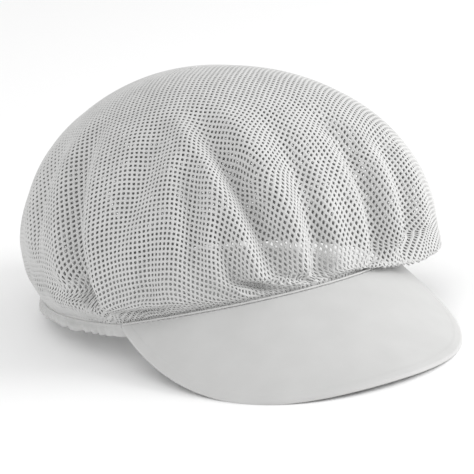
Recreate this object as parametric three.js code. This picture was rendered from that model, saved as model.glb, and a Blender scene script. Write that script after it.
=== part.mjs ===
// Hygiene cap: a net crown gathered into a narrow elastic casing, with a stiff cloth peak and a
// rolled seam edge where the crown meets the peak. Millimetres, front towards -Y, +Z up, open below.
// The cap rests on the back of its casing and on the front edge of its peak.
import * as THREE from "three";

// The band that goes round the head, an ellipse.
const BAND_HALF_WIDTH = 84;
const BAND_HALF_LENGTH = 97;
const CASING_HEIGHT = 6.4;
const CASING_WALL = 2;
const FRONT_RISE = 7.5;
const CASING_COLUMNS = 88;
const CASING_BELLY_FROM = 0.3;
const CASING_BELLY_TO = 0.7;
const CASING_BELLY = 0.6;
const RUFFLE_DEPTH = 0.5;
const RUFFLE_COUNT = 22;
const RUFFLE_RUN_IN = 12;

// The net crown: nearly upright above the band, then a dome whose top leans to the right and back.
const CROWN_HALF_WIDTH = 90.7;
const CROWN_FRONT = 96;
const CROWN_BACK = 95.4;
const CROWN_SIDE_SHIFT = -2;
const CROWN_WIDEST_HEIGHT = 29.5;
const CROWN_LIFT = 8.5;
const CROWN_LIFT_AZIMUTH = -163;
const CROWN_TOP = 108.4;
const CROWN_LEAN_RIGHT = 6.6;
const CROWN_LEAN_BACK = 3.2;
const DOME_ROUNDNESS = 0.95;
const DOME_FULLNESS = 1.13;
const TUCK_CURVE = 4.4;
const COLLAR = 1.7;
const COLLAR_OVER_WELT = 1.6;
const NET_THICKNESS = 1;
const CROWN_COLUMNS = 98;
const CROWN_DENSEST = -25;
const CROWN_CROWDING = 20;
const DOME_ROWS = 13;
const TUCK_ROWS = 8;

// At the right end of the peak the net bulges out over it, and sags towards it.
const BULGE = 21.1;
const BULGE_AZIMUTH = 57.2;
const BULGE_REACH = 21.9;
const SAG_DEPTH = 9.4;
const SAG_AZIMUTH = 42;
const SAG_REACH = 21;

// The peak: a stiff flat shape that follows the band and slopes down to the front.
const PEAK_HALF_ANGLE = 60;
const PEAK_DEPTH = 63;
const PEAK_SLOPE = 26.15;
const PEAK_FAN = 0.125;
const PEAK_TURN = -1.35;
const PEAK_CORNER = 4;
const PEAK_ROUNDNESS = 0.592;
const PEAK_THICKNESS = 1.5;
const PEAK_ROOT_GAP = 0.4;
const PEAK_ROOT_DROP = 0.3;
const PEAK_COLUMNS = 32;
const PEAK_ROWS = 6;
const PEAK_END = 0.996;
const PEAK_CROWDING = 0.96;

// The rolled edge on the seam above the peak's root.
const WELT_RADIUS = 0.75;
const WELT_LIFT = 0.15;
const WELT_OUT = 0.05;
const WELT_SIDES = 6;
const WELT_COLUMNS = 40;
const WELT_END = 0.985;

// Clearance between the casing's top and the crown's lower edge.
const GAP = 0.3;

// How the cap stands: tilted until the peak's front edge and the casing's back both touch.
const REST_TILT = 4.7;
const REST_PRESS = 0.5;

// A fold is a valley with a low shoulder on each side; the shoulder's place is in fold widths.
const SHOULDER_HEIGHT = 0.35;
const SHOULDER_PLACE = 1.7;
const FOLD_EVENNESS = 0.8;

// Small gathers above the casing, all round except over the peak, and deeper ones at the back, where
// the elastic draws the cloth together.
const GATHER_DEPTH = 0.7;
const GATHER_START = 50;
const GATHER_RUN_IN = 40;
const BACK_GATHER_DEPTH = 1.3;
const BACK_GATHER_START = 105;

// Over this last stretch of rows the folds die out into the seam, and the wall turns upright. From
// the push row on, folds push level outwards.
const FOLD_FADE = 0.2;
const WALL_UPRIGHT = 0.2;
const PUSH_ROW = 0.85;

// The cloth's outward direction is measured over these small steps, clear of the top and the seam.
const NORMAL_ROW_STEP = 0.01;
const NORMAL_TURN_STEP = 0.5;
const NORMAL_FIRST_ROW = 0.03;
const NORMAL_LAST_ROW = 1.97;

// Folds of the net. up and low are the azimuth in degrees of a fold's upper and lower end, counted
// from the front, positive towards +X, and bow is how far the line between them swings out. start and
// end are rows: 0 at the top, 1 at the widest ring, 2 at the casing.
const FOLDS = [
  { name: "front_main", up: -26, low: -6, bow: 4, start: 0.32, end: 1.08, depth: 8.5, width: 7 },
  { name: "front_left", up: -30, low: -30, bow: 0, start: 0.5, end: 1, depth: 4.5, width: 5 },
  { name: "front_low", up: -24, low: -9, bow: 2, start: 0.64, end: 1.99, depth: 6.5, width: 5.5 },
  { name: "front_middle", up: 8, low: 4, bow: 1, start: 0.38, end: 1.97, depth: 6.5, width: 6.5 },
  { name: "front_middle_low", up: -5, low: 3, bow: 0, start: 0.78, end: 1.97, depth: 3.5, width: 4 },
  { name: "front_right", up: 33, low: 27, bow: 0.5, start: 0.42, end: 1.45, depth: 6, width: 6 },
  { name: "right_front", up: 46, low: 36, bow: 1, start: 0.56, end: 1.35, depth: 5, width: 6 },
  { name: "right_side", up: 72, low: 68, bow: 0, start: 0.42, end: 1.5, depth: 4.5, width: 8 },
  { name: "left_broad", up: -41, low: -55, bow: 0, start: 0.33, end: 0.88, depth: 3, width: 7 },
  { name: "left_low", up: -44, low: -46, bow: 0, start: 0.74, end: 1.55, depth: 3, width: 5 },
  { name: "left_main", up: -82, low: -70, bow: 9, start: 0.36, end: 1.8, depth: 8, width: 6 },
  { name: "left_corner", up: -65, low: -62, bow: 0, start: 0.86, end: 1.97, depth: 5.5, width: 4.5 },
  { name: "left_back", up: -103, low: -89, bow: 0, start: 0.46, end: 0.98, depth: 4.5, width: 8 },
  { name: "right_back", up: 98, low: 92, bow: 0, start: 0.45, end: 1.63, depth: 6, width: 8 },
  { name: "back_right_2", up: 120, low: 125, bow: 0, start: 0.54, end: 1.9, depth: 5, width: 8 },
  { name: "back_right_1", up: 152, low: 149, bow: 0, start: 0.36, end: 1.8, depth: 6.5, width: 9 },
  { name: "back_middle", up: 176, low: 183, bow: 0, start: 0.56, end: 1.9, depth: 5, width: 8 },
  { name: "back_left_1", up: 213, low: 207, bow: 0, start: 0.41, end: 1.9, depth: 6.5, width: 9 },
  { name: "back_left_2", up: 238, low: 236, bow: 0, start: 0.6, end: 1.95, depth: 5, width: 8 },
];

// Places where the net blouses out or is tucked under, with their reach in degrees and in rows.
const SWELLS = [
  { name: "back", azimuth: 180, row: 1.1, rise: 7, reach: 52, rows: 0.5 },
  { name: "left_side", azimuth: -115, row: 1.35, rise: -4.8, reach: 32, rows: 0.8 },
  { name: "over_peak", azimuth: 45, row: 1.62, rise: 4, reach: 26, rows: 0.28 },
  { name: "left_corner_tuck", azimuth: -50, row: 1.86, rise: -6, reach: 8, rows: 0.1 },
  { name: "left_corner_roll", azimuth: -50, row: 1.6, rise: 3, reach: 11, rows: 0.12 },
];

const DEG = Math.PI / 180;

function lerp(a, b, t) {
  return a + (b - a) * t;
}

function clamp01(t) {
  return Math.min(Math.max(t, 0), 1);
}

// The shortest turn from one azimuth to another, in degrees.
function turn(from, to) {
  return ((to - from + 540) % 360 + 360) % 360 - 180;
}

// Height of the seam between casing and crown: level at the back, rising over the peak.
function seamHeight(azimuth) {
  const side = clamp01(Math.abs(turn(0, azimuth)) / PEAK_HALF_ANGLE);
  return CASING_HEIGHT + FRONT_RISE * (1 - side * side);
}

// A bell-shaped share round an azimuth: 1 there, dying out over the reach.
function bell(centre, reach, azimuth) {
  return Math.exp(-((turn(centre, azimuth) / reach) ** 2));
}

// The net stands up this far from the seam before it turns outwards: further where it hangs over.
function collarHeight(azimuth) {
  return COLLAR + COLLAR_OVER_WELT * bell(SAG_AZIMUTH, SAG_REACH, azimuth);
}

// A point of the smooth crown, before folds.
function crownBase(azimuth, row) {
  const angle = azimuth * DEG;
  const bulge = BULGE * bell(BULGE_AZIMUTH, BULGE_REACH, azimuth);
  const fullX = CROWN_HALF_WIDTH + bulge;
  const fullY = (Math.cos(angle) > 0 ? CROWN_FRONT : CROWN_BACK) + bulge;
  const widest = CROWN_WIDEST_HEIGHT + CROWN_LIFT * Math.cos((azimuth - CROWN_LIFT_AZIMUTH) * DEG);
  let halfX;
  let halfY;
  let shiftX;
  let shiftY;
  let z;
  if (row <= 1) {
    const lift = (1 - row) * Math.PI / 2;
    const radius = Math.cos(lift) ** DOME_ROUNDNESS;
    const height = Math.sin(lift) ** DOME_FULLNESS;
    halfX = fullX * radius;
    halfY = fullY * radius;
    shiftX = CROWN_SIDE_SHIFT + CROWN_LEAN_RIGHT * height;
    shiftY = CROWN_LEAN_BACK * height;
    z = lerp(widest, CROWN_TOP, height);
  } else {
    const up = clamp01(2 - row);
    const out = 1 - (1 - up) ** TUCK_CURVE;
    const sag = SAG_DEPTH * bell(SAG_AZIMUTH, SAG_REACH, azimuth);
    halfX = lerp(BAND_HALF_WIDTH, fullX, out);
    halfY = lerp(BAND_HALF_LENGTH, fullY, out);
    shiftX = CROWN_SIDE_SHIFT * out;
    shiftY = 0;
    z = lerp(seamHeight(azimuth) + collarHeight(azimuth), widest, up) - sag * Math.sin(Math.PI * up) ** 2;
  }
  return new THREE.Vector3(shiftX + halfX * Math.sin(angle), shiftY - halfY * Math.cos(angle), z);
}

// Outward direction of the smooth crown.
function crownNormal(azimuth, row) {
  const at = Math.min(Math.max(row, NORMAL_FIRST_ROW), NORMAL_LAST_ROW);
  const above = crownBase(azimuth, at - NORMAL_ROW_STEP);
  const below = crownBase(azimuth, at + NORMAL_ROW_STEP);
  const along = crownBase(azimuth + NORMAL_TURN_STEP, at).sub(crownBase(azimuth, at));
  const down = below.sub(above);
  return down.cross(along).normalize();
}

// How far the folded net stands out of the smooth crown.
function foldOffset(azimuth, row) {
  const p = crownBase(azimuth, row);
  const radius = Math.hypot(p.x, p.y);
  let offset = 0;
  for (const fold of FOLDS) {
    const t = (row - fold.start) / (fold.end - fold.start);
    if (t <= 0 || t >= 1) {
      continue;
    }
    const centre = lerp(fold.up, fold.low, t) + fold.bow * 4 * t * (1 - t);
    const u = turn(centre, azimuth) * DEG * radius / fold.width;
    const strength = fold.depth * Math.sin(Math.PI * t) ** FOLD_EVENNESS;
    const shoulders = Math.exp(-((u - SHOULDER_PLACE) ** 2)) + Math.exp(-((u + SHOULDER_PLACE) ** 2));
    offset += strength * (SHOULDER_HEIGHT * shoulders - Math.exp(-u * u));
  }
  for (const swell of SWELLS) {
    const w = (row - swell.row) / swell.rows;
    offset += swell.rise * bell(swell.azimuth, swell.reach, azimuth) * Math.exp(-w * w);
  }
  const gathered = clamp01((row - 1) * 2);
  const aside = Math.abs(turn(0, azimuth));
  const away = clamp01((aside - GATHER_START) / GATHER_RUN_IN);
  const behind = clamp01((aside - BACK_GATHER_START) / GATHER_RUN_IN);
  const gather = GATHER_DEPTH * away + BACK_GATHER_DEPTH * behind;
  offset += gather * gathered * Math.cos(RUFFLE_COUNT * azimuth * DEG);
  return offset * clamp01((2 - row) / FOLD_FADE);
}

// A point of the folded crown, inset by the cloth's thickness for its inner side. Near the band folds
// push level outwards instead of square to the cloth.
function crownPoint(azimuth, row, inset) {
  const base = crownBase(azimuth, Math.min(row, 2));
  const normal = crownNormal(azimuth, row);
  const level = clamp01((row - 2 + WALL_UPRIGHT) / WALL_UPRIGHT);
  const outwards = new THREE.Vector3(Math.sin(azimuth * DEG), -Math.cos(azimuth * DEG), 0);
  const across = normal.clone().lerp(outwards, level).normalize();
  const levelled = clamp01((row - PUSH_ROW) / WALL_UPRIGHT);
  const push = normal.clone().lerp(outwards, levelled).normalize();
  base.addScaledVector(push, foldOffset(azimuth, row));
  return base.addScaledVector(across, -inset);
}

// Faces between rings of points of equal length. A chain of rings is left open at both ends, or runs
// on from the last ring to the first.
function bodyFromRings(rings, chainClosed) {
  const positions = [];
  const indices = [];
  const n = rings[0].length;
  for (const ring of rings) {
    for (const p of ring) {
      positions.push(p.x, p.y, p.z);
    }
  }
  const links = chainClosed ? rings.length : rings.length - 1;
  for (let i = 0; i < links; i += 1) {
    for (let j = 0; j < n; j += 1) {
      const a = i * n + j;
      const b = i * n + (j + 1) % n;
      const c = ((i + 1) % rings.length) * n + j;
      const d = ((i + 1) % rings.length) * n + (j + 1) % n;
      indices.push(a, c, b, b, c, d);
    }
  }
  return { positions, indices, n };
}

// Closes an open end of a tube-like body with a fan round the end's first point.
function addEndCap(body, ends, reversed) {
  for (let i = 1; i < ends.length - 1; i += 1) {
    if (reversed) {
      body.indices.push(ends[0], ends[i + 1], ends[i]);
    } else {
      body.indices.push(ends[0], ends[i], ends[i + 1]);
    }
  }
}

function toGeometry(body) {
  const geometry = new THREE.BufferGeometry();
  const flat = [];
  const tilt = REST_TILT * DEG;
  const lift = BAND_HALF_LENGTH * Math.sin(tilt) - REST_PRESS;
  for (let i = 0; i < body.positions.length; i += 3) {
    const x = body.positions[i];
    const y = body.positions[i + 1];
    const z = body.positions[i + 2];
    const turnedY = y * Math.cos(tilt) + z * Math.sin(tilt);
    const turnedZ = z * Math.cos(tilt) - y * Math.sin(tilt) + lift;
    flat.push(x, turnedY, Math.max(turnedZ, 0));
  }
  geometry.setAttribute("position", new THREE.Float32BufferAttribute(flat, 3));
  geometry.setIndex(body.indices);
  return geometry;
}

function signedVolume(geometry) {
  const p = geometry.attributes.position;
  const index = geometry.index.array;
  const a = new THREE.Vector3();
  const b = new THREE.Vector3();
  const c = new THREE.Vector3();
  let sum = 0;
  for (let i = 0; i < index.length; i += 3) {
    a.fromBufferAttribute(p, index[i]);
    b.fromBufferAttribute(p, index[i + 1]);
    c.fromBufferAttribute(p, index[i + 2]);
    sum += a.dot(b.cross(c)) / 6;
  }
  return sum;
}

// Turns the faces outward where the rings ran the other way.
function outward(geometry) {
  if (signedVolume(geometry) < 0) {
    const index = geometry.index.array;
    for (let i = 0; i < index.length; i += 3) {
      [index[i], index[i + 1]] = [index[i + 1], index[i]];
    }
  }
  geometry.computeVertexNormals();
  return geometry;
}

// Azimuth of a column of the crown: closer together on the side where the folds are sharpest.
function columnAzimuth(j) {
  const even = j * 360 / CROWN_COLUMNS;
  return even - CROWN_CROWDING * Math.sin((even - CROWN_DENSEST) * DEG);
}

function buildCrown() {
  const rows = [];
  for (let i = 1; i <= DOME_ROWS; i += 1) {
    rows.push(i / DOME_ROWS);
  }
  for (let i = 1; i <= TUCK_ROWS; i += 1) {
    rows.push(1 + i / TUCK_ROWS);
  }
  const azimuths = [];
  for (let j = 0; j < CROWN_COLUMNS; j += 1) {
    azimuths.push(columnAzimuth(j));
  }
  const ringAt = (row, inset) => azimuths.map((azimuth) => crownPoint(azimuth, row, inset));
  const hemAt = (inset) => azimuths.map((azimuth) => {
    const p = crownPoint(azimuth, 2, inset);
    p.z -= collarHeight(azimuth);
    return p;
  });
  const outer = rows.map((row) => ringAt(row, 0));
  outer.push(hemAt(0));
  const inner = rows.map((row) => ringAt(row, NET_THICKNESS));
  inner.push(hemAt(NET_THICKNESS));
  const body = bodyFromRings(outer.concat(inner.reverse()), false);
  const last = (outer.length + inner.length - 1) * body.n;
  const topOuter = body.positions.length / 3;
  const apex = crownBase(0, 0.001);
  body.positions.push(apex.x, apex.y, CROWN_TOP);
  body.positions.push(apex.x, apex.y, CROWN_TOP - NET_THICKNESS);
  for (let j = 0; j < body.n; j += 1) {
    const next = (j + 1) % body.n;
    body.indices.push(topOuter, j, next);
    body.indices.push(topOuter + 1, last + next, last + j);
  }
  return outward(toGeometry(body));
}

function buildCasing() {
  const rings = [];
  for (let j = 0; j < CASING_COLUMNS; j += 1) {
    const azimuth = j * 360 / CASING_COLUMNS;
    const angle = azimuth * DEG;
    const top = seamHeight(azimuth) - GAP;
    const away = clamp01((Math.abs(turn(0, azimuth)) - PEAK_HALF_ANGLE) / RUFFLE_RUN_IN);
    const belly = away * (CASING_BELLY + RUFFLE_DEPTH * Math.cos(RUFFLE_COUNT * angle));
    const section = [
      { out: -CASING_WALL, z: 0 },
      { out: 0, z: 0 },
      { out: belly, z: top * CASING_BELLY_FROM },
      { out: belly, z: top * CASING_BELLY_TO },
      { out: 0, z: top },
      { out: -CASING_WALL, z: top },
    ];
    rings.push(section.map((corner) => new THREE.Vector3(
      (BAND_HALF_WIDTH + corner.out) * Math.sin(angle),
      -(BAND_HALF_LENGTH + corner.out) * Math.cos(angle),
      corner.z,
    )));
  }
  return outward(toGeometry(bodyFromRings(rings, true)));
}

// The peak's outline: how far it reaches out from the band at a share of its half angle.
function peakReach(share) {
  return PEAK_DEPTH * (1 - Math.abs(share) ** PEAK_CORNER) ** PEAK_ROUNDNESS;
}

// A point of the peak's upper side: outShare runs from 0 at the root to 1 at the outer edge.
function peakPoint(share, outShare) {
  const angle = share * PEAK_HALF_ANGLE * DEG;
  const reach = peakReach(share) * outShare;
  const heading = PEAK_FAN * angle + PEAK_TURN * DEG;
  const root = seamHeight(share * PEAK_HALF_ANGLE) - PEAK_ROOT_DROP;
  return new THREE.Vector3(
    (BAND_HALF_WIDTH + PEAK_ROOT_GAP) * Math.sin(angle) + reach * Math.sin(heading),
    -(BAND_HALF_LENGTH + PEAK_ROOT_GAP) * Math.cos(angle) - reach * Math.cos(heading),
    root - reach * Math.tan(PEAK_SLOPE * DEG),
  );
}

// Shares of the half angle, closer together at the corners.
function peakShares(count, end) {
  const shares = [];
  const sweep = Math.PI * PEAK_CROWDING;
  for (let i = 0; i <= count; i += 1) {
    shares.push(Math.sin((i / count - 0.5) * sweep) / Math.sin(sweep / 2) * end);
  }
  return shares;
}

function buildPeak() {
  const under = PEAK_THICKNESS / Math.cos(PEAK_SLOPE * DEG);
  const rings = peakShares(PEAK_COLUMNS, PEAK_END).map((share) => {
    const ring = [];
    for (let i = 0; i <= PEAK_ROWS; i += 1) {
      ring.push(peakPoint(share, i / PEAK_ROWS));
    }
    for (let i = PEAK_ROWS; i >= 0; i -= 1) {
      const p = peakPoint(share, i / PEAK_ROWS);
      p.z -= under;
      ring.push(p);
    }
    return ring;
  });
  const body = bodyFromRings(rings, false);
  const first = rings[0].map((_, i) => i);
  const last = first.map((i) => (rings.length - 1) * body.n + i);
  addStripCap(body, first, false);
  addStripCap(body, last, true);
  return outward(toGeometry(body));
}

// Closes the flat end of the peak, whose section is a long narrow strip, with pairs of triangles.
function addStripCap(body, ends, reversed) {
  const n = ends.length;
  for (let i = 0; i < n / 2 - 1; i += 1) {
    const a = ends[i];
    const b = ends[i + 1];
    const c = ends[n - 1 - i];
    const d = ends[n - 2 - i];
    if (reversed) {
      body.indices.push(a, c, b, b, c, d);
    } else {
      body.indices.push(a, b, c, b, d, c);
    }
  }
}

function buildWelt() {
  const shares = peakShares(WELT_COLUMNS, WELT_END);
  const rings = shares.map((share) => {
    const angle = share * PEAK_HALF_ANGLE * DEG;
    const seat = peakPoint(share, 0);
    const away = new THREE.Vector3(Math.sin(angle), -Math.cos(angle), 0);
    const centre = seat.addScaledVector(away, WELT_RADIUS + WELT_OUT);
    centre.z += WELT_RADIUS + WELT_LIFT;
    const ring = [];
    for (let i = 0; i < WELT_SIDES; i += 1) {
      const round = i * 2 * Math.PI / WELT_SIDES;
      const p = centre.clone().addScaledVector(away, WELT_RADIUS * Math.cos(round));
      p.z += WELT_RADIUS * Math.sin(round);
      ring.push(p);
    }
    return ring;
  });
  const body = bodyFromRings(rings, false);
  const first = rings[0].map((_, i) => i);
  const last = first.map((i) => (rings.length - 1) * body.n + i);
  addEndCap(body, first, false);
  addEndCap(body, last, true);
  return outward(toGeometry(body));
}

const netCloth = new THREE.MeshStandardMaterial({ color: 0xe3e3e2, roughness: 0.9 });
const casingCloth = new THREE.MeshStandardMaterial({ color: 0xdcdcdb, roughness: 0.85 });
const peakCloth = new THREE.MeshStandardMaterial({ color: 0xe0e0df, roughness: 0.8 });

function named(name, geometry, material) {
  const mesh = new THREE.Mesh(geometry, material);
  mesh.name = name;
  return mesh;
}

const group = new THREE.Group();
group.name = "hygiene_cap";
group.add(named("crown_net", buildCrown(), netCloth));
group.add(named("elastic_casing", buildCasing(), casingCloth));
group.add(named("peak", buildPeak(), peakCloth));
group.add(named("peak_welt", buildWelt(), peakCloth));

// The origin is under the middle of the cap's overall box.
const box = new THREE.Box3().setFromObject(group);
const middle = box.getCenter(new THREE.Vector3());
group.children.forEach((mesh) => mesh.geometry.translate(-middle.x, -middle.y, 0));

export default group;
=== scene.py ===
import math

import bpy
import numpy as np
from mathutils import Matrix, Vector


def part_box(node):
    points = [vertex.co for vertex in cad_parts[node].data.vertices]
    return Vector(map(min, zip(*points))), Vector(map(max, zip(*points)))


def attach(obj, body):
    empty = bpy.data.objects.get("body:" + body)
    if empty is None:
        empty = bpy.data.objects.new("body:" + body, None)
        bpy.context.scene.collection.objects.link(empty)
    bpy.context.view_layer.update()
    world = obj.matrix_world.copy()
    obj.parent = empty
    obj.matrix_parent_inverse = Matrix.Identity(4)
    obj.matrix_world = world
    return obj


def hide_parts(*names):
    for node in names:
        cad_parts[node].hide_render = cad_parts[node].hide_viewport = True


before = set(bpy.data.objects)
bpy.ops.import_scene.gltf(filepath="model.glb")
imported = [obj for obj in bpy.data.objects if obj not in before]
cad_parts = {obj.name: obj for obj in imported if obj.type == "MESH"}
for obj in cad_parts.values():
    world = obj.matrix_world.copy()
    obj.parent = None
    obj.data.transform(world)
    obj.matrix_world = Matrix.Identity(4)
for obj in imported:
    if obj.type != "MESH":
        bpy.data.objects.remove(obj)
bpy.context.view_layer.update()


# Camera
# It looks at the cap's front and left side from a little above the floor, turned slightly about its
# own axis as the photograph was, with a long lens. The photograph is 474 pixels square.
CAMERA_AIM = (-0.0045, -0.003, 0.0399)
CAMERA_AZIMUTH = math.radians(-26.331)
CAMERA_ELEVATION = math.radians(16.176)
CAMERA_ROLL = math.radians(-5.945)
CAMERA_DISTANCE = 0.9622
CAMERA_LENS = 153.08

away_from_cap = Vector((
    math.sin(CAMERA_AZIMUTH) * math.cos(CAMERA_ELEVATION),
    -math.cos(CAMERA_AZIMUTH) * math.cos(CAMERA_ELEVATION),
    math.sin(CAMERA_ELEVATION),
))
camera = bpy.data.objects.new("camera", bpy.data.cameras.new("camera"))
camera.data.sensor_width = 36
camera.data.lens = CAMERA_LENS
camera.data.clip_start = 0.05
camera.data.clip_end = 20
level_look = (-away_from_cap).to_track_quat("-Z", "Y").to_matrix().to_4x4()
camera.matrix_world = (
    Matrix.Translation(Vector(CAMERA_AIM) + away_from_cap * CAMERA_DISTANCE)
    @ level_look
    @ Matrix.Rotation(CAMERA_ROLL, 4, "Z")
)
bpy.context.scene.collection.objects.link(camera)
bpy.context.scene.camera = camera


# Net crown
# One round piece of soft polyester net, gathered on its whole edge and sewn into the casing, so that
# it stands as a full dome in soft vertical folds. The net is knitted: thick soft strands round open
# holes in a square lattice, which shears into slanted diamonds where the flat cloth follows the dome.
BAND_HALF_WIDTH = 0.084
BAND_HALF_LENGTH = 0.097
CASING_HEIGHT = 0.0064
FRONT_RISE = 0.0075
PEAK_HALF_ANGLE = 60
REST_TILT = math.radians(4.7)
REST_PRESS = 0.0005

CROWN_HALF_WIDTH = 0.0907
CROWN_FRONT = 0.096
CROWN_BACK = 0.0954
CROWN_SIDE_SHIFT = -0.002
CROWN_WIDEST_HEIGHT = 0.0295
CROWN_LIFT = 0.0085
CROWN_LIFT_AZIMUTH = -163
CROWN_TOP = 0.1084
CROWN_LEAN_RIGHT = 0.0066
CROWN_LEAN_BACK = 0.0032
DOME_ROUNDNESS = 0.95
DOME_FULLNESS = 1.13
TUCK_CURVE = 4.4
COLLAR = 0.0017
COLLAR_OVER_WELT = 0.0016

# At the right end of the peak the net bulges out over it, and sags towards it.
BULGE = 0.0211
BULGE_AZIMUTH = 57.2
BULGE_REACH = 21.9
SAG_DEPTH = 0.0094
SAG_AZIMUTH = 42
SAG_REACH = 21

# The net runs on below the crown's last row into the casing, HEM_RUN metres for one whole row.
HEM_RUN = 0.05
HEM_ROWS = 0.14
HEM_INSET = 0.001
HEM_INSET_ROWS = 0.02

# A fold is a valley with a low shoulder on each side. It stands out of the dome along its normal, and
# from LEVEL_FROM_ROW on, over LEVEL_ROWS, it turns to stand out level.
SHOULDER_HEIGHT = 0.35
SHOULDER_PLACE = 1.7
FOLD_EVENNESS = 0.8
FOLD_FADE = 0.2
LEVEL_FROM_ROW = 0.85
LEVEL_ROWS = 0.2

# Folds: azimuth from the front in degrees, positive towards +X, at the upper and the lower end, and
# the bow of the line between; first and last row, where 0 is the top, 1 the widest ring and 2 the
# casing; depth and half width.
FOLDS = [
    (-26, -6, 4, 0.32, 1.08, 0.0085, 0.0070),
    (-30, -30, 0, 0.50, 1.00, 0.0045, 0.0050),
    (-24, -9, 2, 0.64, 1.99, 0.0065, 0.0055),
    (8, 4, 1, 0.38, 1.97, 0.0065, 0.0065),
    (-5, 3, 0, 0.78, 1.97, 0.0035, 0.0040),
    (33, 27, 0.5, 0.42, 1.45, 0.0060, 0.0060),
    (46, 36, 1, 0.56, 1.35, 0.0050, 0.0060),
    (72, 68, 0, 0.42, 1.50, 0.0045, 0.0080),
    (-41, -55, 0, 0.33, 0.88, 0.0030, 0.0070),
    (-44, -46, 0, 0.74, 1.55, 0.0030, 0.0050),
    (-82, -70, 9, 0.36, 1.80, 0.0080, 0.0060),
    (-65, -62, 0, 0.86, 1.97, 0.0055, 0.0045),
    (-103, -89, 0, 0.46, 0.98, 0.0045, 0.0080),
    (98, 92, 0, 0.45, 1.63, 0.0060, 0.0080),
    (120, 125, 0, 0.54, 1.90, 0.0050, 0.0080),
    (152, 149, 0, 0.36, 1.80, 0.0065, 0.0090),
    (176, 183, 0, 0.56, 1.90, 0.0050, 0.0080),
    (213, 207, 0, 0.41, 1.90, 0.0065, 0.0090),
    (238, 236, 0, 0.60, 1.95, 0.0050, 0.0080),
]

# Places where the net blouses out or is tucked under: azimuth, row, rise, reach in degrees and rows.
SWELLS = [
    (180, 1.10, 0.007, 52, 0.50),
    (-115, 1.35, -0.0048, 32, 0.80),
    (45, 1.62, 0.004, 26, 0.28),
    (-50, 1.86, -0.006, 8, 0.10),
    (-50, 1.60, 0.003, 11, 0.12),
]

# Small gathers above the casing, all round except over the peak, and deeper ones at the back, where
# the elastic draws the cloth together.
GATHER_COUNT = 22
GATHER_DEPTH = 0.0007
GATHER_START = 50
GATHER_RUN_IN = 40
BACK_GATHER_DEPTH = 0.0013
BACK_GATHER_START = 105

# The knitted lattice. Its threads run along NET_AZIMUTH over the top of the head, and across it.
# NET_HOLE is a hole's side on the outer side of the net, NET_HOLE_BELOW on the inner side.
NET_PITCH = 0.00225
NET_HOLE = 0.00127
NET_HOLE_BELOW = 0.00109
NET_THICKNESS = 0.0005
HOLE_CORNER = 17
NET_KNOT_RISE = 0.00012
NET_AZIMUTH = -42
NET_SHEAR = 0.10
NET_STRETCH = 0.20
NET_WANDER = 0.04
# Going down from the top, the net drifts round the dome: by this many degrees at the rim.
NET_DRIFT = 4.5
NET_DRIFT_MORE = 8
NET_DRIFT_AZIMUTH = 60
NET_DRIFT_REACH = 30
# At the back, and in the gathers just above the casing, the holes are drawn smaller by these shares.
# That isn't measured: it keeps the white surround from showing through both layers as bright dots,
# which the photograph doesn't have.
CLOSED_BEHIND = 0.38
CLOSED_BEHIND_START = 90
CLOSED_BEHIND_RUN_IN = 30
CLOSED_LOW = 0.5
CLOSED_LOW_ROW = 1.75
CLOSED_LOW_ROWS = 0.15
CLOSED_LOW_RUN_IN = 20

casing_low, casing_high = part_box("elastic_casing")
cap_origin_x = (casing_low.x + casing_high.x) / 2
cap_origin_y = casing_low.y + BAND_HALF_LENGTH * math.cos(REST_TILT)
cap_origin_z = BAND_HALF_LENGTH * math.sin(REST_TILT) - REST_PRESS


def at_rest(points):
    """Points of the level cap, tilted as it stands on the back of its casing and on its peak."""
    x, y, z = points[..., 0], points[..., 1], points[..., 2]
    turned_y = y * math.cos(REST_TILT) + z * math.sin(REST_TILT) + cap_origin_y
    turned_z = z * math.cos(REST_TILT) - y * math.sin(REST_TILT) + cap_origin_z
    return np.stack([x + cap_origin_x, turned_y, np.maximum(turned_z, 0)], axis=-1)


def mix(a, b, share):
    return a + (b - a) * share


def clamp01(value):
    return np.clip(value, 0.0, 1.0)


def turn(start, end):
    """The shortest turn from one azimuth to another, in degrees."""
    return (end - start + 540) % 360 - 180


def unit(vectors):
    length = np.linalg.norm(vectors, axis=-1, keepdims=True)
    return vectors / np.maximum(length, 1e-12)


def seam_height(azimuth):
    """Level at the back and rising over the peak."""
    side = clamp01(np.abs(turn(0, azimuth)) / PEAK_HALF_ANGLE)
    return CASING_HEIGHT + FRONT_RISE * (1 - side ** 2)


def level_outwards(azimuth):
    angle = np.radians(azimuth)
    return np.stack([np.sin(angle), -np.cos(angle), np.zeros_like(angle)], axis=-1)


def bell(centre, reach, azimuth):
    """1 at the centre's azimuth, dying out over the reach."""
    return np.exp(-(turn(centre, azimuth) / reach) ** 2)


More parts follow.
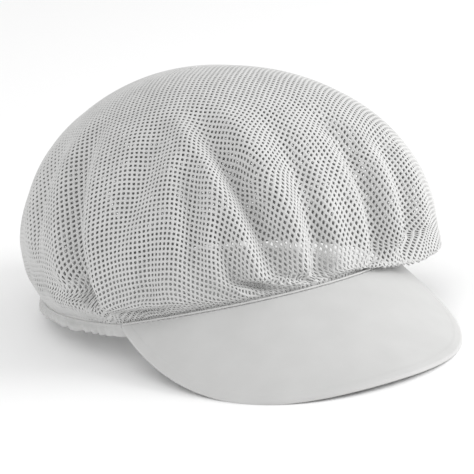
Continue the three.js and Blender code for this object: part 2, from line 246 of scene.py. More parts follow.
def crown_base(azimuth, row):
    """The smooth crown before folds: a leaning dome, and nearly upright walls down to the band."""
    angle = np.radians(azimuth)
    bulge = BULGE * bell(BULGE_AZIMUTH, BULGE_REACH, azimuth)
    full_x = CROWN_HALF_WIDTH + bulge
    full_y = np.where(np.cos(angle) > 0, CROWN_FRONT, CROWN_BACK) + bulge
    widest = CROWN_WIDEST_HEIGHT + CROWN_LIFT * np.cos(np.radians(azimuth - CROWN_LIFT_AZIMUTH))
    lift = (1 - np.clip(row, 0, 1)) * math.pi / 2
    radius = np.abs(np.cos(lift)) ** DOME_ROUNDNESS
    height = np.abs(np.sin(lift)) ** DOME_FULLNESS
    up = clamp01(2 - row)
    out = 1 - (1 - up) ** TUCK_CURVE
    dome = row <= 1
    half_x = np.where(dome, full_x * radius, mix(BAND_HALF_WIDTH, full_x, out))
    half_y = np.where(dome, full_y * radius, mix(BAND_HALF_LENGTH, full_y, out))
    shift_x = CROWN_SIDE_SHIFT * np.where(dome, 1, out) + np.where(dome, CROWN_LEAN_RIGHT * height, 0)
    shift_y = np.where(dome, CROWN_LEAN_BACK * height, 0)
    hangs_over = bell(SAG_AZIMUTH, SAG_REACH, azimuth)
    seam = seam_height(azimuth) + COLLAR + COLLAR_OVER_WELT * hangs_over
    tuck_z = mix(seam, widest, up) - SAG_DEPTH * hangs_over * np.sin(math.pi * up) ** 2
    z = np.where(dome, mix(widest, CROWN_TOP, height), tuck_z)
    return np.stack([shift_x + half_x * np.sin(angle), shift_y - half_y * np.cos(angle), z], axis=-1)


def crown_normal(azimuth, row):
    """The smooth crown's normal, kept off its very top and its last row."""
    step = 0.01
    low = np.clip(row, 0.03, 1.97)
    point = crown_base(azimuth, low)
    along = crown_base(azimuth + 0.5, low) - point
    down = crown_base(azimuth, low + step) - crown_base(azimuth, low - step)
    return unit(np.cross(down, along))


def fold_offset(azimuth, row):
    """How far the folded net stands out of the smooth crown."""
    point = crown_base(azimuth, row)
    radius = np.hypot(point[..., 0], point[..., 1])
    offset = np.zeros_like(radius)
    for azimuth_up, azimuth_low, bow, start, end, depth, width in FOLDS:
        along = clamp01((row - start) / (end - start))
        centre = mix(azimuth_up, azimuth_low, along) + bow * 4 * along * (1 - along)
        u = np.radians(turn(centre, azimuth)) * radius / width
        strength = depth * np.sin(math.pi * along) ** FOLD_EVENNESS
        shoulders = np.exp(-(u - SHOULDER_PLACE) ** 2) + np.exp(-(u + SHOULDER_PLACE) ** 2)
        offset += strength * (SHOULDER_HEIGHT * shoulders - np.exp(-u * u))
    for centre, middle_row, rise, reach, rows in SWELLS:
        offset += rise * bell(centre, reach, azimuth) * np.exp(-((row - middle_row) / rows) ** 2)
    gathered = clamp01((row - 1) * 2)
    aside = np.abs(turn(0, azimuth))
    away = clamp01((aside - GATHER_START) / GATHER_RUN_IN)
    behind = clamp01((aside - BACK_GATHER_START) / GATHER_RUN_IN)
    gather = GATHER_DEPTH * away + BACK_GATHER_DEPTH * behind
    offset += gather * gathered * np.cos(GATHER_COUNT * np.radians(azimuth))
    return offset * clamp01((2 - row) / FOLD_FADE)


def crown_point(azimuth, row):
    """The folded net, and below its last row the hem that runs straight down inside the casing."""
    outwards = level_outwards(azimuth)
    level = clamp01((row - LEVEL_FROM_ROW) / LEVEL_ROWS)[..., None]
    push = unit(mix(crown_normal(azimuth, row), outwards, level))
    point = crown_base(azimuth, np.minimum(row, 2)) + push * fold_offset(azimuth, row)[..., None]
    below = np.maximum(row - 2, 0)
    point[..., 2] -= below * HEM_RUN
    return point - outwards * (HEM_INSET * clamp01(below / HEM_INSET_ROWS))[..., None]


class CrownChart:
    """Cloth lengths on the folded crown: down from the top, and round each row as a bearing, both as
    tables over azimuth and row and the other way round."""

    ROWS = 640
    COLUMNS = 1440
    LENGTHS = 900
    ROUNDS = 16

    def __init__(self):
        self.last_row = 2 + HEM_ROWS
        rows = np.linspace(0, self.last_row, self.ROWS)
        azimuths = np.linspace(-180, 180, self.COLUMNS + 1) + NET_AZIMUTH
        azimuth, row = np.meshgrid(azimuths, rows)
        points = crown_point(azimuth, row)
        down = np.linalg.norm(np.diff(points, axis=0), axis=-1)
        length = np.vstack([np.zeros((1, self.COLUMNS + 1)), np.cumsum(down, axis=0)])
        across = np.linalg.norm(np.diff(points, axis=1), axis=-1) + 1e-9
        walked = np.hstack([np.zeros((self.ROWS, 1)), np.cumsum(across, axis=1)])
        share = walked / walked[:, -1:]
        bearing = (share - share[:, [self.COLUMNS // 2]]) * 360
        self.rim = length[-1].mean()
        self.longest = length.max() * 1.1
        lengths = np.linspace(0, self.longest, self.LENGTHS)
        # Lengths past the hem get a row beyond the last one, so that their nodes are left out.
        beyond = self.last_row + (lengths - self.rim) / HEM_RUN
        self.row_at = np.stack([
            np.where(lengths > column[-1], beyond + 0.5, np.interp(lengths, column, rows))
            for column in length.T
        ], axis=1)
        bearings = np.linspace(-180, 180, self.COLUMNS + 1)
        # Each line runs on past both its ends, because bearings go round.
        round_again = np.concatenate([azimuths[:-1] - 360, azimuths, azimuths[1:] + 360])
        self.azimuth_at = np.stack([
            np.interp(bearings, np.concatenate([line[:-1] - 360, line, line[1:] + 360]), round_again)
            for line in bearing
        ])

    def find(self, length, bearing):
        """The azimuth and row of points that lie this far down the cloth, in that direction."""
        row = length / self.rim * self.last_row
        azimuth = bearing + NET_AZIMUTH
        for _ in range(self.ROUNDS):
            drift = NET_DRIFT * np.sin(np.radians(azimuth))
            drift += NET_DRIFT_MORE * bell(NET_DRIFT_AZIMUTH, NET_DRIFT_REACH, azimuth)
            column = (turn(0, bearing + drift * length / self.rim) + 180) / 360 * self.COLUMNS
            place = np.clip(row / self.last_row, 0, 1) * (self.ROWS - 1)
            azimuth = between(self.azimuth_at, place, column)
            line = (turn(NET_AZIMUTH, azimuth) + 180) / 360 * self.COLUMNS
            row = between(self.row_at, length / self.longest * (self.LENGTHS - 1), line)
        return azimuth, row


def between(table, i, j):
    """A table's value at places between its rows and columns."""
    low_i = np.clip(i.astype(int), 0, table.shape[0] - 2)
    low_j = np.clip(j.astype(int), 0, table.shape[1] - 2)
    u = clamp01(i - low_i)
    v = clamp01(j - low_j)
    first = mix(table[low_i, low_j], table[low_i, low_j + 1], v)
    second = mix(table[low_i + 1, low_j], table[low_i + 1, low_j + 1], v)
    return mix(first, second, u)


def lattice_nodes(chart):
    """Where the crossings of the net's threads lie, as arrays over a square lattice, and which of
    them are on the crown. Along the threads through the top the lattice stays square; between them
    it is drawn long down the dome and narrow round it, as a flat net is."""
    enough = 1.12
    half = int(chart.rim / NET_PITCH * enough)
    count = np.arange(-half, half + 1)
    i, j = np.meshgrid(count, count, indexing="ij")
    # Slow uneven waves, because soft net never lies quite straight.
    wander = NET_WANDER * NET_PITCH
    u = i * NET_PITCH + wander * (np.sin(j * 0.31 + 1.7 * np.sin(i * 0.11)) + np.sin(j * 0.83 + i * 0.4))
    v = j * NET_PITCH + wander * (np.sin(i * 0.37 + 1.9 * np.sin(j * 0.13)) + np.sin(i * 0.71 - j * 0.5))
    reach = np.hypot(u, v)
    bearing = np.arctan2(v, u)
    true_bearing = bearing.copy()
    length = reach.copy()
    rounds = 30
    for _ in range(rounds):
        near_rim = np.minimum(length / chart.rim, 1) ** 2
        true_bearing = bearing + NET_SHEAR * near_rim * np.sin(4 * true_bearing) / 4
        length = reach * (1 + NET_STRETCH * near_rim * (1 - np.cos(4 * true_bearing)) / 2)
    azimuth, row = chart.find(length, np.degrees(true_bearing))
    return azimuth, row, row <= chart.last_row


def net_faces(cells, hole_start, below_start, below_shift, corner):
    """Three- and four-sided faces of the net: its outer side with an eight-sided hole in each cell,
    the hole's wall, which narrows to four sides, and the inner side."""
    triangles = []
    quads = []
    for k in range(4):
        here, following = corner[:, k], corner[:, (k + 1) % 4]
        first = hole_start + cells * 8 + 2 * k
        second = first + 1
        third = hole_start + cells * 8 + (2 * k + 2) % 8
        under = below_start + cells * 4 + k
        next_under = below_start + cells * 4 + (k + 1) % 4
        triangles.append(np.stack([first, here, second], axis=1))
        triangles.append(np.stack([first, second, under], axis=1))
        quads.append(np.stack([here, following, third, second], axis=1))
        quads.append(np.stack([second, third, next_under, under], axis=1))
        quads.append(np.stack([under, next_under, following + below_shift, here + below_shift], axis=1))
    return np.concatenate(triangles), np.concatenate(quads)


def vertex_normals(points, triangles, quads):
    """Area-weighted normals, so that each strand shades as a soft round thread."""
    split = np.concatenate([triangles, quads[:, [0, 1, 2]], quads[:, [0, 2, 3]]])
    a, b, c = points[split[:, 0]], points[split[:, 1]], points[split[:, 2]]
    face_normals = np.cross(b - a, c - a)
    total = np.zeros_like(points)
    for axis in range(3):
        for k in range(3):
            total[:, axis] += np.bincount(split[:, k], face_normals[:, axis], len(points))
    return unit(total)


def mesh_piece(name, points, triangles, quads, normals=None):
    """An object made of arrays of points and of three- and four-sided faces, smoothly shaded."""
    used, compact = np.unique(np.concatenate([triangles.ravel(), quads.ravel()]), return_inverse=True)
    mesh = bpy.data.meshes.new(name)
    mesh.vertices.add(len(used))
    mesh.vertices.foreach_set("co", points[used].astype(np.float32).ravel())
    mesh.loops.add(len(compact))
    mesh.loops.foreach_set("vertex_index", compact.astype(np.int32).ravel())
    starts = np.concatenate([
        np.arange(len(triangles)) * 3,
        len(triangles) * 3 + np.arange(len(quads)) * 4,
    ])
    mesh.polygons.add(len(starts))
    mesh.polygons.foreach_set("loop_start", starts.astype(np.int32))
    mesh.polygons.foreach_set("use_smooth", np.ones(len(starts), bool))
    mesh.update(calc_edges=True)
    mesh.validate()
    if normals is not None:
        mesh.normals_split_custom_set_from_vertices(normals[used].tolist())
    piece = bpy.data.objects.new(name, mesh)
    bpy.context.scene.collection.objects.link(piece)
    return piece


def off_white(grey):
    """A very slightly warm grey, of which white cloth is made up."""
    return grey, grey, grey - 0.005, 1


def fabric_material(name, grey, roughness, sheen):
    """A cloth's base: a shader for soft matt fabric, with its node tree ready for weave and bump."""
    material = bpy.data.materials.new(name)
    material.use_nodes = True
    shader = material.node_tree.nodes["Principled BSDF"]
    shader.inputs["Base Color"].default_value = off_white(grey)
    shader.inputs["Roughness"].default_value = roughness
    shader.inputs["Specular IOR Level"].default_value = 0.25
    shader.inputs["Sheen Weight"].default_value = sheen
    shader.inputs["Sheen Roughness"].default_value = 0.5
    return material, material.node_tree, shader


def place_nodes(tree, **kinds):
    """Adds nodes by name and kind."""
    return {name: tree.nodes.new(kind) for name, kind in kinds.items()}


def uneven_dye(tree, shader, scale, detail, dark, light):
    """Colours a cloth in two greys that run into each other, and returns its own coordinates."""
    made = place_nodes(
        tree,
        place="ShaderNodeTexCoord",
        dye="ShaderNodeTexNoise",
        shades="ShaderNodeValToRGB",
    )
    made["dye"].inputs["Scale"].default_value = scale
    made["dye"].inputs["Detail"].default_value = detail
    ends = made["shades"].color_ramp.elements
    ends[0].position = 0.3
    ends[0].color = off_white(dark)
    ends[1].position = 0.7
    ends[1].color = off_white(light)
    coordinates = made["place"].outputs["Object"]
    tree.links.new(coordinates, made["dye"].inputs["Vector"])
    tree.links.new(made["dye"].outputs["Fac"], made["shades"].inputs["Fac"])
    tree.links.new(made["shades"].outputs["Color"], shader.inputs["Base Color"])
    return coordinates


def net_material():
    """White polyester yarn: fine twisted fibres across the strands, and slightly uneven dye."""
    material, tree, shader = fabric_material("net_yarn", 0.57, 0.85, 0.15)
    coordinates = uneven_dye(tree, shader, 90, 3, 0.545, 0.6)
    made = place_nodes(tree, fibres="ShaderNodeTexNoise", bump="ShaderNodeBump")
    made["fibres"].inputs["Scale"].default_value = 5200
    made["fibres"].inputs["Detail"].default_value = 2
    made["bump"].inputs["Strength"].default_value = 0.35
    made["bump"].inputs["Distance"].default_value = 0.00008
    tree.links.new(coordinates, made["fibres"].inputs["Vector"])
    tree.links.new(made["fibres"].outputs["Fac"], made["bump"].inputs["Height"])
    tree.links.new(made["bump"].outputs["Normal"], shader.inputs["Normal"])
    return material


chart = CrownChart()
node_azimuth, node_row, node_on_crown = lattice_nodes(chart)
node_point = at_rest(crown_point(node_azimuth, node_row))
fine_turn, fine_row = 0.05, 0.002
node_along = at_rest(crown_point(node_azimuth + fine_turn, node_row)) - node_point
node_down = at_rest(crown_point(node_azimuth, node_row + fine_row)) - node_point
node_normal = unit(np.cross(node_down, node_along))

# A cell belongs to the net where all its four corners are on the crown.
cell_here = (
    node_on_crown[:-1, :-1] & node_on_crown[1:, :-1] & node_on_crown[1:, 1:] & node_on_crown[:-1, 1:]
)
cell_i, cell_j = np.nonzero(cell_here)
lattice_width = node_point.shape[1]


def node_number(i, j):
    return i * lattice_width + j


cell_corner = np.stack([
    node_number(cell_i + 1, cell_j + 1),
    node_number(cell_i, cell_j + 1),
    node_number(cell_i, cell_j),
    node_number(cell_i + 1, cell_j),
], axis=1)
corner_point = node_point.reshape(-1, 3)[cell_corner]
corner_normal = node_normal.reshape(-1, 3)[cell_corner]


def inside_cells(values, reach, angles):
    """Values at points round the middle of each cell, between the values at its four corners."""
    u = reach[:, None] * np.cos(angles)
    v = reach[:, None] * np.sin(angles)
    weights = np.stack([(1 + u) * (1 + v), (1 - u) * (1 + v), (1 - u) * (1 - v), (1 + u) * (1 - v)]) / 4
    return np.einsum("kcp,ckx->cpx", weights, values)


hole_angles = np.radians(45 + 90 * np.arange(4)[:, None] + [-HOLE_CORNER, HOLE_CORNER]).ravel()
below_angles = np.radians(45 + 90 * np.arange(4))
cell_aside = np.abs(turn(0, node_azimuth[cell_i, cell_j]))
behind = clamp01((cell_aside - CLOSED_BEHIND_START) / CLOSED_BEHIND_RUN_IN)
beside_peak = clamp01((cell_aside - PEAK_HALF_ANGLE) / CLOSED_LOW_RUN_IN)
low_down = clamp01((node_row[cell_i, cell_j] - CLOSED_LOW_ROW) / CLOSED_LOW_ROWS)
openness = (1 - CLOSED_BEHIND * behind) * (1 - CLOSED_LOW * low_down * beside_peak)
hole_reach = openness * NET_HOLE / NET_PITCH / math.cos(math.radians(45 - HOLE_CORNER))
below_reach = openness * NET_HOLE_BELOW / NET_PITCH * math.sqrt(2)
hole_points = inside_cells(corner_point, hole_reach, hole_angles)
hole_normals = unit(inside_cells(corner_normal, hole_reach, hole_angles))
below_points = inside_cells(corner_point, below_reach, below_angles)
below_normals = unit(inside_cells(corner_normal, below_reach, below_angles))

all_nodes = node_point.reshape(-1, 3)
all_normals = node_normal.reshape(-1, 3)
net_points = np.concatenate([
    all_nodes + all_normals * NET_KNOT_RISE,
    all_nodes - all_normals * NET_THICKNESS,
    hole_points.reshape(-1, 3),
    (below_points - below_normals * NET_THICKNESS).reshape(-1, 3),
])
below_shift = len(all_nodes)
hole_start = 2 * len(all_nodes)
below_start = hole_start + hole_points.shape[0] * 8
cells = np.arange(len(cell_i))
net_triangles, net_quads = net_faces(cells, hole_start, below_start, below_shift, cell_corner)
net_normals = vertex_normals(net_points, net_triangles, net_quads)

# The one net is kept as four quarters that meet along two of its threads, because it has about
# 470,000 triangles. Each quarter is closed along its edges.
top_i = top_j = lattice_width // 2
quarter = np.where(cell_i >= top_i, 0, 2) + np.where(cell_j >= top_j, 0, 1)
quarter_names = {0: "right_front", 1: "left_front", 2: "right_back", 3: "left_back"}
net_yarn = net_material()
for number, side_name in quarter_names.items():
    mine = np.nonzero(quarter == number)[0]
    triangles, quads = net_faces(mine, hole_start, below_start, below_shift, cell_corner[mine])
    taken = np.zeros_like(node_on_crown)
    taken[cell_i[mine], cell_j[mine]] = True
    edges = []
    for k, (step_i, step_j) in enumerate([(0, 1), (-1, 0), (0, -1), (1, 0)]):
        lone = ~taken[cell_i[mine] + step_i, cell_j[mine] + step_j]
        a = cell_corner[mine[lone], k]
        b = cell_corner[mine[lone], (k + 1) % 4]
        edges.append(np.stack([b, a, a + below_shift, b + below_shift], axis=1))
    quads = np.concatenate([quads, *edges])
    net = mesh_piece("net_crown_" + side_name, net_points, triangles, quads, net_normals)
    net.data.materials.append(net_yarn)
    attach(net, "root")
    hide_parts("crown_net")


# Elastic casing
# A narrow tunnel of the same white cloth folded over the net's gathered edge, with an elastic inside
# that pulls it into small irregular puckers at the sides and back. A row of stitches near its upper
# edge holds net and tunnel together; behind the peak it is sewn flat to the peak's root.
CASING_WALL = 0.002
CASING_GAP = 0.0003
CASING_COLUMNS = 960
CASING_RUN_IN = 12
CASING_FULLNESS = 0.0002
PUCKER_COUNT = 96
PUCKER_DEPTH = 0.0027
PUCKER_ROUNDNESS = 0.6
HEM_SCALLOP = 0.0017
# The line of stitches below the upper edge: how deep, how far and how wide it draws the cloth in, and
# the share of the puckers' depth that it holds down above.
STITCH_LINE_DEPTH = 0.0016
STITCH_PINCH = 0.0003
STITCH_PINCH_WIDTH = 0.0005
STITCH_HOLD = 0.88


def casing_away(azimuth):
    """0 behind the peak, 1 at the sides and back, where the elastic gathers the casing."""
    return clamp01((np.abs(turn(0, azimuth)) - PEAK_HALF_ANGLE) / CASING_RUN_IN)


def puckers(azimuth):
    """The gathered cloth's puffs between creases, from 0 in a crease to 1, unevenly spaced."""
    angle = np.radians(azimuth)
    phase = PUCKER_COUNT / 2 * angle + 1.9 * np.sin(7 * angle + 0.6) + 1.1 * np.sin(17 * angle + 2.0)
    size = 0.66 + 0.34 * np.sin(11 * angle + 1.0) * np.sin(5 * angle + 0.3)
    return size * np.abs(np.sin(phase)) ** PUCKER_ROUNDNESS


def casing_surface(azimuth, out, z):
    """A point of the casing, out from the band's line at height z above its lower edge."""
    angle = np.radians(azimuth)
    return np.stack([
        (BAND_HALF_WIDTH + out) * np.sin(angle),
        -(BAND_HALF_LENGTH + out) * np.cos(angle),
        z,
    ], axis=-1)


def casing_section(azimuth, share):
    """Out and height on the outer side at a share of the casing's height."""
    top = seam_height(azimuth) - CASING_GAP
    away = casing_away(azimuth)
    puff = puckers(azimuth)
    height = top * share
    to_stitches = clamp01((height - (top - STITCH_LINE_DEPTH * 2)) / STITCH_LINE_DEPTH)
    belly = np.sin(math.pi * clamp01(share * 0.93 + 0.07)) ** 0.5
    out = away * belly * (CASING_FULLNESS + PUCKER_DEPTH * puff)
    from_line = (height - (top - STITCH_LINE_DEPTH)) / STITCH_PINCH_WIDTH
    pinch = away * STITCH_PINCH * np.exp(-from_line ** 2)
    out = out * (1 - STITCH_HOLD * to_stitches) - pinch
    height = height + (1 - share) * away * HEM_SCALLOP * (1 - puff)
    return out, height


def ring_piece(name, rings, closed_round):
    """A solid from rings of points; the rings run on round the cap, or end in two flat caps."""
    count, width = rings.shape[:2]
    points = rings.reshape(-1, 3)
    links = count if closed_round else count - 1
    i, j = np.meshgrid(np.arange(links), np.arange(width), indexing="ij")
    i, j = i.ravel(), j.ravel()
    a = i * width + j
    b = i * width + (j + 1) % width
    c = (i + 1) % count * width + (j + 1) % width
    d = (i + 1) % count * width + j
    quads = np.stack([a, b, c, d], axis=1)
    triangles = np.zeros((0, 3), int)
    if not closed_round:
        ends = np.stack([rings[0].mean(axis=0), rings[-1].mean(axis=0)])
        first, last = len(points), len(points) + 1
        points = np.concatenate([points, ends])
        k = np.arange(width)
        start = np.stack([np.full(width, first), (k + 1) % width, k], axis=1)
        offset = (count - 1) * width
        finish = np.stack([np.full(width, last), offset + k, offset + (k + 1) % width], axis=1)
        triangles = np.concatenate([start, finish])
    return mesh_piece(name, points, triangles, quads)


def casing_material():
    """A plain close weave of white polyester, with threads about a third of a millimetre apart."""
    material, tree, shader = fabric_material("casing_weave", 0.52, 0.85, 0.15)
    coordinates = uneven_dye(tree, shader, 140, 4, 0.49, 0.55)
    made = place_nodes(tree, weave="ShaderNodeTexVoronoi", bump="ShaderNodeBump")
    made["weave"].inputs["Scale"].default_value = 2800
    made["bump"].inputs["Strength"].default_value = 0.5
    made["bump"].inputs["Distance"].default_value = 0.0001
    tree.links.new(coordinates, made["weave"].inputs["Vector"])
    tree.links.new(made["weave"].outputs["Distance"], made["bump"].inputs["Height"])
    tree.links.new(made["bump"].outputs["Normal"], shader.inputs["Normal"])
    return material


# The casing's section, from its outer lower edge up, over and down the inner side, is reversed so
# that its faces look outwards.
casing_azimuth = np.arange(CASING_COLUMNS) * 360 / CASING_COLUMNS
casing_rings = []
for share in np.linspace(0.04, 0.96, 15):
    out, height = casing_section(casing_azimuth, share)
    casing_rings.append(casing_surface(casing_azimuth, out, height))
top_height = seam_height(casing_azimuth) - CASING_GAP
for inset, drop in [(0.0003, 0.00005), (0.001, 0.0), (0.0017, 0.0001)]:
    casing_rings.append(casing_surface(casing_azimuth, -inset, top_height - drop))
scallop = casing_away(casing_azimuth) * HEM_SCALLOP * (1 - puckers(casing_azimuth))
for share in (0.9, 0.6, 0.3, 0.1):
    inner_height = mix(scallop, top_height, share)
    casing_rings.append(casing_surface(casing_azimuth, -CASING_WALL, inner_height))
for inset in (0.0016, 0.001, 0.0004):
    casing_rings.append(casing_surface(casing_azimuth, -inset, scallop))
casing_rings.reverse()
casing = ring_piece("elastic_casing_gathered", at_rest(np.stack(casing_rings, axis=1)), True)


# Stitches: spacing in degrees round the cap, the share of it that shows, and a thread's radius.
STITCH_SPACING = 1.7
STITCH_SHARE = 0.62
STITCH_RADIUS = 0.00019
STITCH_RINGS = 6
STITCH_SIDES = 6


def stitch_row(name, places, outwards):
    """A row of stitches as small spindles: places holds the two ends of each, and outwards the way
    that they stand up from the cloth."""
    along = places[:, 1] - places[:, 0]
    sideways = unit(np.cross(along, outwards))
    points = []
    for share in np.linspace(0, 1, STITCH_RINGS + 1):
        middle = places[:, 0] + along * share
        radius = STITCH_RADIUS * (math.sin(math.pi * share) ** 0.5 + 0.02)
        for angle in np.arange(STITCH_SIDES) * 2 * math.pi / STITCH_SIDES:
            points.append(middle + radius * (math.cos(angle) * outwards + math.sin(angle) * sideways))
    points = np.stack(points, axis=1)
    faces = []
    for ring in range(STITCH_RINGS):
        for side in range(STITCH_SIDES):
            a = ring * STITCH_SIDES + side
            b = ring * STITCH_SIDES + (side + 1) % STITCH_SIDES
            faces.append([a, b, b + STITCH_SIDES, a + STITCH_SIDES])
    last = STITCH_RINGS * STITCH_SIDES
    for side in range(1, STITCH_SIDES - 1, 2):
        opposite = (side + 2) % STITCH_SIDES
        faces.append([0, opposite, side + 1, side])
        faces.append([last, last + side, last + side + 1, last + opposite])
    first = np.arange(len(places))[:, None, None] * points.shape[1]
    quads = (first + np.array(faces)).reshape(-1, 4)
    return mesh_piece(name, points.reshape(-1, 3), np.zeros((0, 3), int), quads)


# The stitches run on the outer side, along the pinched line below the casing's upper edge.
STITCHES_FROM = PEAK_HALF_ANGLE + 6
stitch_start = np.arange(STITCHES_FROM, 360 - STITCHES_FROM, STITCH_SPACING)
stitch_azimuth = np.stack([stitch_start, stitch_start + STITCH_SPACING * STITCH_SHARE], axis=1)
stitch_share = 1 - STITCH_LINE_DEPTH / (seam_height(stitch_azimuth) - CASING_GAP)
stitch_out, stitch_height = casing_section(stitch_azimuth, stitch_share)
casing_stitches = stitch_row(
    "casing_stitches",
    at_rest(casing_surface(stitch_azimuth, stitch_out + STITCH_RADIUS / 2, stitch_height)),
    level_outwards(stitch_azimuth[:, 0]),
)
casing_weave = casing_material()
for piece in (casing, casing_stitches):
    piece.data.materials.append(casing_weave)
    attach(piece, "root")
    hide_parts("elastic_casing")


# Peak
# A stiff peak of two layers of smooth white cloth over a flexible board, turned and pressed, so that
# the seam allowance shows as a faint step about 4 mm inside its rounded outer edge. Its root is sewn
# to the front of the casing.
PEAK_DEPTH = 0.063
PEAK_SLOPE = math.radians(26.15)
PEAK_FAN = 0.125
PEAK_TURN = math.radians(-1.35)
PEAK_CORNER = 4
PEAK_ROUNDNESS = 0.592
PEAK_THICKNESS = 0.0015
PEAK_ROOT_GAP = 0.0004
PEAK_ROOT_DROP = 0.0003
PEAK_END = 0.998
PEAK_COLUMNS = 240
PEAK_ROWS = 64
ROW_CROWDING = 1.5
OUTLINE_COLUMNS = 400
OUTLINE_END = 0.9999
BORDER_WIDTH = 0.004
BORDER_RISE = 0.00018
BORDER_STEP = 0.0009


def peak_point(share, out_share):
    """The peak's upper side: share runs over its half angle, out_share from root to outer edge."""
    angle = share * math.radians(PEAK_HALF_ANGLE)
    reach = PEAK_DEPTH * (1 - np.abs(share) ** PEAK_CORNER) ** PEAK_ROUNDNESS * out_share
    heading = PEAK_FAN * angle + PEAK_TURN
    root = seam_height(share * PEAK_HALF_ANGLE) - PEAK_ROOT_DROP
    return np.stack([
        (BAND_HALF_WIDTH + PEAK_ROOT_GAP) * np.sin(angle) + reach * np.sin(heading),
        -(BAND_HALF_LENGTH + PEAK_ROOT_GAP) * np.cos(angle) - reach * np.cos(heading),
        root - reach * math.tan(PEAK_SLOPE),
    ], axis=-1)


def peak_shares(count, end):
    """Shares of the half angle, closer together at the corners."""
    sweep = math.pi * 0.985
    place = np.linspace(-0.5, 0.5, count + 1)
    return np.sin(place * sweep) / math.sin(sweep / 2) * end


def distance_to_edge(points, outline):
    """How far points lie from the peak's outer edge."""
    start, step = outline[:-1], np.diff(outline, axis=0)
    nearest = np.full(len(points), 1.0)
    for a, d in zip(start, step):
        along = clamp01(((points - a) @ d) / max(d @ d, 1e-18))
        gap = np.linalg.norm(points - a - along[:, None] * d, axis=1)
        nearest = np.minimum(nearest, gap)
    return nearest


def smooth_step(value):
    share = clamp01(value)
    return share * share * (3 - 2 * share)


def peak_material():
    """Smooth fine plain weave: its threads are a quarter of a millimetre apart and barely show."""
    material, tree, shader = fabric_material("peak_weave", 0.54, 0.7, 0.1)
    coordinates = uneven_dye(tree, shader, 60, 5, 0.525, 0.555)
    made = place_nodes(
        tree,
        across="ShaderNodeTexWave",
        along="ShaderNodeTexWave",
        weave="ShaderNodeMath",
        bump="ShaderNodeBump",
    )
    made["weave"].operation = "MAXIMUM"
    made["bump"].inputs["Strength"].default_value = 0.25
    made["bump"].inputs["Distance"].default_value = 0.00006
    for number, (name, direction) in enumerate((("across", "X"), ("along", "Y"))):
        made[name].bands_direction = direction
        made[name].inputs["Scale"].default_value = 1250
        made[name].inputs["Distortion"].default_value = 0.6
        tree.links.new(coordinates, made[name].inputs["Vector"])
        tree.links.new(made[name].outputs["Fac"], made["weave"].inputs[number])
    tree.links.new(made["weave"].outputs["Value"], made["bump"].inputs["Height"])
    tree.links.new(made["bump"].outputs["Normal"], shader.inputs["Normal"])
    return material


shares = peak_shares(PEAK_COLUMNS, PEAK_END)
outline = peak_point(peak_shares(OUTLINE_COLUMNS, OUTLINE_END), 1.0)
under = PEAK_THICKNESS / math.cos(PEAK_SLOPE)
# Rows crowd towards the outer edge, where the edge is rounded over.
row_shares = 1 - (1 - np.linspace(0, 1, PEAK_ROWS + 1)) ** ROW_CROWDING
share_grid, row_grid = np.meshgrid(shares, row_shares, indexing="ij")
upper = peak_point(share_grid, row_grid)
edge_gap = distance_to_edge(upper.reshape(-1, 3), outline).reshape(upper.shape[:2])
half = under / 2
rounding = np.sqrt(1 - (1 - clamp01(edge_gap / half)) ** 2)
border = 1 - smooth_step((edge_gap - BORDER_WIDTH) / BORDER_STEP + 0.5)
lower = upper.copy()
upper[..., 2] += -half + half * rounding + BORDER_RISE * border * rounding
lower[..., 2] += -half - half * rounding
peak_rings = at_rest(np.concatenate([upper, lower[:, ::-1]], axis=1))
peak = ring_piece("peak_cloth_cover", peak_rings, False)
peak_weave = peak_material()
peak.data.materials.append(peak_weave)
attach(peak, "root")
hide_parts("peak")


# Seam welt
# The rolled edge of cloth on the seam where the net, the casing and the peak's root are sewn as one.
# It is the turned seam allowance, a soft roll along the seam, with one row of stitches beside it.
WELT_RADIUS = 0.0005
WELT_LIFT = -0.00025
WELT_END = 0.985
WELT_TAPER = 0.012
WELT_COLUMNS = 420
WELT_SIDES = 14
WELT_STITCH_OUT = 0.0011
WELT_STITCHES_FROM = -0.95
WELT_STITCHES_TO = 0.93


def welt_centre(share):
    outwards = level_outwards(share * PEAK_HALF_ANGLE)
    centre = peak_point(share, 0.0) + outwards * WELT_RADIUS
    centre[..., 2] += WELT_RADIUS + WELT_LIFT
    return centre, outwards


welt_shares = np.linspace(-WELT_END, WELT_END, WELT_COLUMNS)
welt_line, welt_out = welt_centre(welt_shares)
to_end = clamp01((WELT_END - np.abs(welt_shares)) / WELT_TAPER)
# The roll is slightly uneven and tapers off at both ends.
roll = WELT_RADIUS * (1 + 0.07 * np.sin(welt_shares * 61) + 0.05 * np.sin(welt_shares * 143 + 1))
roll = roll * np.sqrt(1 - (1 - to_end) ** 2) + 0.00002
round_angles = -np.arange(WELT_SIDES) * 2 * math.pi / WELT_SIDES
upwards = np.array([0.0, 0.0, 1.0])
welt_rings = (
    welt_line[:, None, :]
    + roll[:, None, None] * np.cos(round_angles)[None, :, None] * welt_out[:, None, :]
    + roll[:, None, None] * np.sin(round_angles)[None, :, None] * upwards
)
welt = ring_piece("seam_welt_roll", at_rest(welt_rings), False)

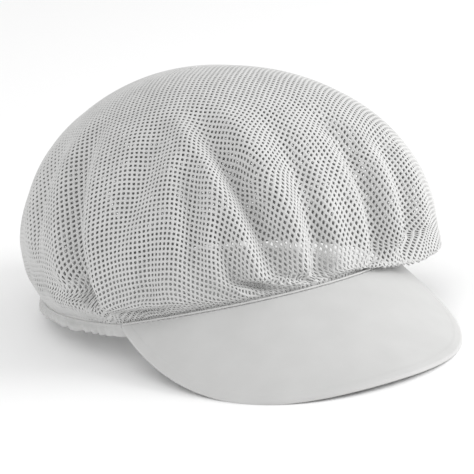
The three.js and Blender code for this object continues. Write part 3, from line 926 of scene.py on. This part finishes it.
# The seam's stitches lie on the peak just outside the roll.
stitch_step = STITCH_SPACING / PEAK_HALF_ANGLE
stitch_start = np.arange(WELT_STITCHES_FROM, WELT_STITCHES_TO, stitch_step)
stitch_length = STITCH_SPACING * STITCH_SHARE / PEAK_HALF_ANGLE
stitch_shares = np.stack([stitch_start, stitch_start + stitch_length], axis=1)
stitch_place = peak_point(stitch_shares, WELT_STITCH_OUT / PEAK_DEPTH)
stitch_up = np.tile(upwards, (len(stitch_start), 1))
welt_stitches = stitch_row("welt_stitches", at_rest(stitch_place), stitch_up)
for piece in (welt, welt_stitches):
    piece.data.materials.append(peak_weave)
    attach(piece, "root")
    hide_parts("peak_welt")


# Floor and studio light
# A plain white floor in an even white surround. A broad soft lamp stands low on the right in front of
# the cap, so that its folds shade softly towards the left, and a weak one on the left fills them.
FLOOR_SIZE = 12.0
SURROUND_STRENGTH = 0.9
# Lamps: name, place, width and power.
LAMPS = [
    ("right_lamp", (1.3, -0.75, 0.55), 1.1, 17.0),
    ("left_lamp", (-1.5, -0.5, 0.6), 0.9, 3.5),
]

floor_mesh = bpy.data.meshes.new("floor")
reach = FLOOR_SIZE / 2
floor_mesh.from_pydata(
    [(-reach, -reach, 0), (reach, -reach, 0), (reach, reach, 0), (-reach, reach, 0)],
    [],
    [(0, 1, 2, 3)],
)
floor = bpy.data.objects.new("floor", floor_mesh)
bpy.context.scene.collection.objects.link(floor)
floor_paint = bpy.data.materials.new("floor_paint")
floor_paint.use_nodes = True
floor_shader = floor_paint.node_tree.nodes["Principled BSDF"]
floor_shader.inputs["Base Color"].default_value = (0.95, 0.95, 0.95, 1)
floor_shader.inputs["Roughness"].default_value = 0.9
floor_shader.inputs["Specular IOR Level"].default_value = 0.1
floor.data.materials.append(floor_paint)

for name, place, size, power in LAMPS:
    lamp = bpy.data.objects.new(name, bpy.data.lights.new(name, "AREA"))
    lamp.data.shape = "DISK"
    lamp.data.size = size
    lamp.data.energy = power
    lamp.location = place
    lamp.rotation_mode = "QUATERNION"
    lamp.rotation_quaternion = (Vector(CAMERA_AIM) - Vector(place)).to_track_quat("-Z", "Y")
    bpy.context.scene.collection.objects.link(lamp)

surround = bpy.data.worlds.new("surround")
surround.use_nodes = True
background = surround.node_tree.nodes["Background"]
background.inputs["Color"].default_value = (1, 1, 1, 1)
background.inputs["Strength"].default_value = SURROUND_STRENGTH
bpy.context.scene.world = surround
bpy.context.scene.view_settings.view_transform = "Standard"
